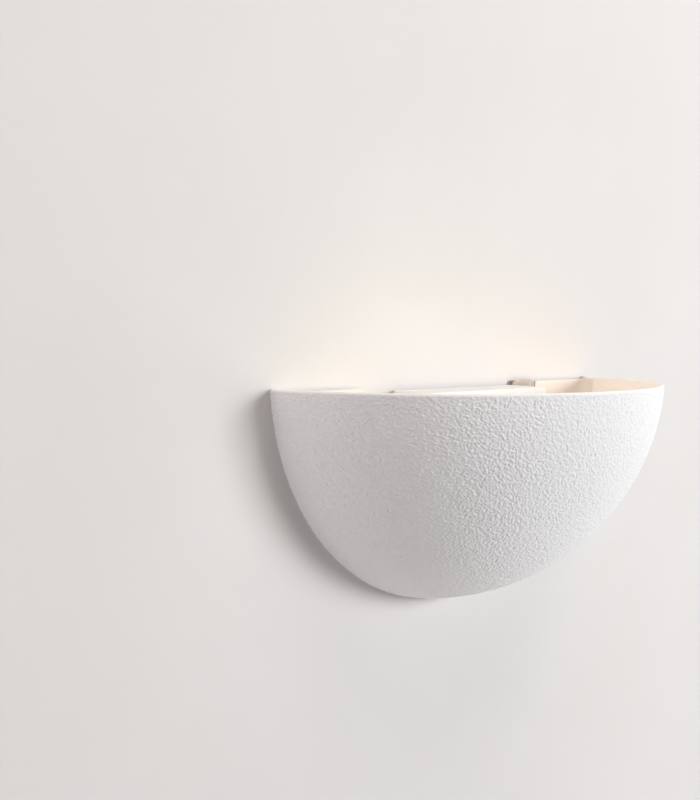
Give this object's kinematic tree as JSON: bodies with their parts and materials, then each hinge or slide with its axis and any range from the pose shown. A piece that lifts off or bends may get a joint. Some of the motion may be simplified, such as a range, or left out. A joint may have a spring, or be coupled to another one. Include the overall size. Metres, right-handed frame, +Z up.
{
  "type": "uplighter wall sconce",
  "caption": "Quarter-globe uplighter wall sconce: a sand-textured bowl open at the top hides a horizontal screw-in lamp on a flat wall bracket with a wiring cover.",
  "frame": {"origin": "midway between the two wall-fixing slots, on the wall plane behind the bracket", "axes": "+X to the right along the wall as seen from the room, +Y into the wall, +Z up; the room is on the -Y side"},
  "size_m": [0.2996, 0.1279, 0.1413],
  "materials": {
    "bowl_paint": "matte sand-textured white powder coat over cast aluminium",
    "cover_paint": "satin",
    "white_plastic": "satin",
    "zinc_steel": "zinc-plated",
    "raw_steel": "passivated, slightly browned",
    "nickel": "nickel-plated",
    "brass": "satin",
    "black_rubber": "matte",
    "earth_insulation": "satin",
    "live_insulation": "satin",
    "neutral_insulation": "satin",
    "lamp_diffuser": "satin",
    "lamp_plastic": "satin",
    "board": "matte"
  },
  "bodies": {
    "mount": {"wall_bracket": "zinc_steel", "bracket_studs": "zinc_steel", "cable_bush": "black_rubber", "wiring_cover": "cover_paint", "cover_pillars": "zinc_steel", "cover_screws": "nickel", "wire_bush": "white_plastic", "terminal_block": "white_plastic", "terminal_sleeves": "brass", "terminal_screws": "nickel", "terminal_fixing_screws": "zinc_steel", "earth_screw": "brass", "earth_washer": "zinc_steel", "earth_lug": "nickel", "earth_wire": "earth_insulation", "live_wire": "live_insulation", "neutral_wire": "neutral_insulation", "holder_strip": "raw_steel", "strip_screws": "zinc_steel", "holder_body": "white_plastic", "holder_collar": "white_plastic", "holder_thread": "nickel", "holder_contact": "brass", "holder_screws": "zinc_steel"},
    "bowl": {"bowl_shell": "bowl_paint", "back_panel": "bowl_paint", "nut_washers": "white_plastic"},
    "nut_left": {"thumb_nut_left": "nickel"},
    "nut_right": {"thumb_nut_right": "nickel"},
    "lamp": {"lamp_globe": "lamp_diffuser", "lamp_housing": "lamp_plastic", "lamp_cap": "nickel", "lamp_insulator": "black_rubber", "lamp_contact": "nickel", "lamp_led_board": "board"}
  },
  "joints": [
    {"name": "bowl_slide", "type": "slide", "parent": "mount", "child": "bowl", "axis": [0, -1, 0], "range_m": [0, 0.12]},
    {"name": "nut_left_turn", "type": "hinge", "parent": "bowl", "child": "nut_left", "pos_m": [-0.11, 0, 0], "axis": [0, 1, 0], "continuous": true},
    {"name": "nut_right_turn", "type": "hinge", "parent": "bowl", "child": "nut_right", "pos_m": [0.11, 0, 0], "axis": [0, 1, 0], "continuous": true},
    {"name": "lamp_slide", "type": "slide", "parent": "mount", "child": "lamp", "axis": [-1, 0, 0], "range_m": [0, 0.022]}
  ]
}
